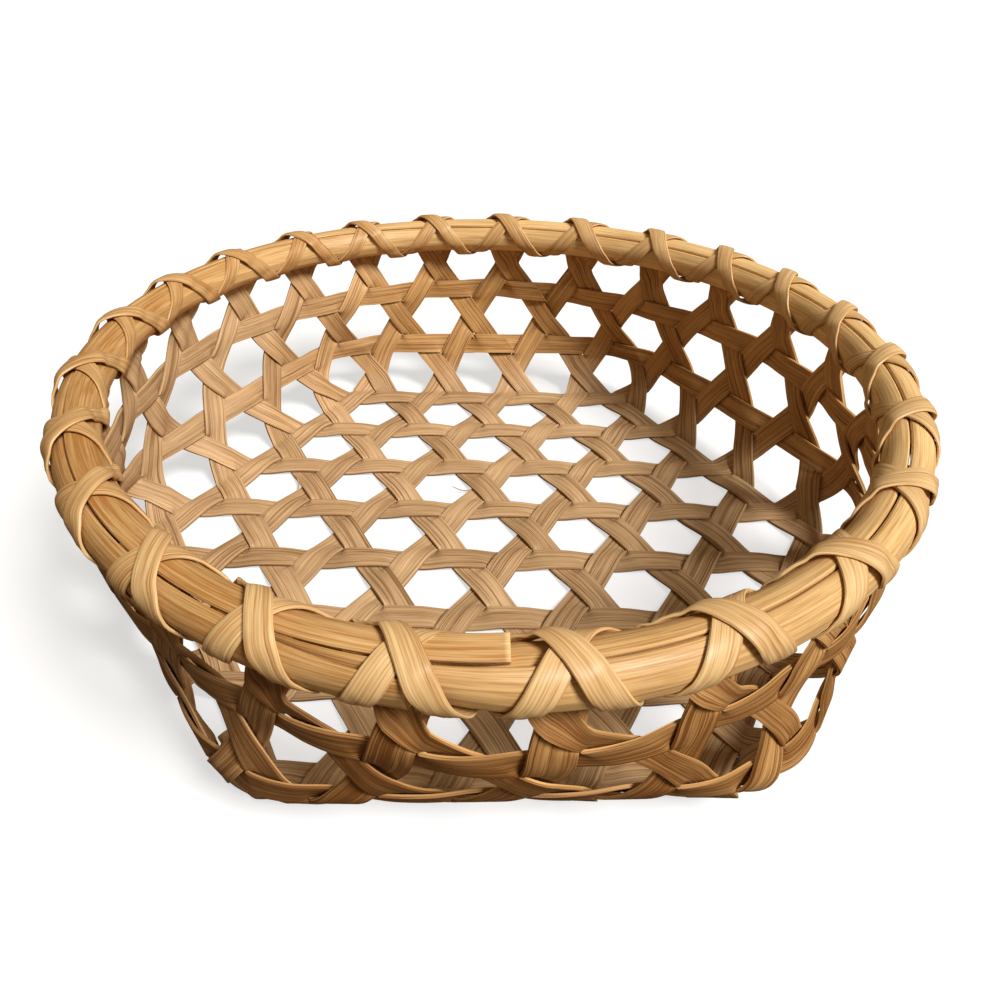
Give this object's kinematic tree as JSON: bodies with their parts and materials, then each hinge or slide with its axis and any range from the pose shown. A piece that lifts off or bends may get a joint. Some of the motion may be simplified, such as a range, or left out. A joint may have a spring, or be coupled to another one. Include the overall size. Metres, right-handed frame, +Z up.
{
  "type": "cheese basket",
  "caption": "Open hexagon-weave basket of flat wooden splints with a six-sided base, a round lashed rim of paired rods, and an open top for draining or serving.",
  "frame": {"origin": "on the floor under the middle of the basket", "axes": "+Z up out of the open top, +Y towards one flat side of the six-sided base, +X towards one corner of it"},
  "size_m": [0.2694, 0.2801, 0.0825],
  "materials": {
    "splint": "bare flat splint with fine lengthwise grain, dull",
    "rim_rod": "smooth bare rod, slightly satin",
    "lashing": "thin flat strip with fine lengthwise grain, slightly satin"
  },
  "bodies": {
    "root": {"cross_splint_1": "splint", "cross_splint_2": "splint", "cross_splint_3": "splint", "cross_splint_4": "splint", "cross_splint_5": "splint", "cross_splint_6": "splint", "cross_splint_7": "splint", "cross_splint_8": "splint", "rising_splint_1": "splint", "rising_splint_2": "splint", "rising_splint_3": "splint", "rising_splint_4": "splint", "rising_splint_5": "splint", "rising_splint_6": "splint", "rising_splint_7": "splint", "rising_splint_8": "splint", "falling_splint_1": "splint", "falling_splint_2": "splint", "falling_splint_3": "splint", "falling_splint_4": "splint", "falling_splint_5": "splint", "falling_splint_6": "splint", "falling_splint_7": "splint", "falling_splint_8": "splint", "wall_hoop_1": "splint", "wall_hoop_2": "splint", "rim_inner_rod": "rim_rod", "rim_outer_rod": "rim_rod", "under_lashing": "lashing", "over_lashing": "lashing"}
  },
  "joints": []
}
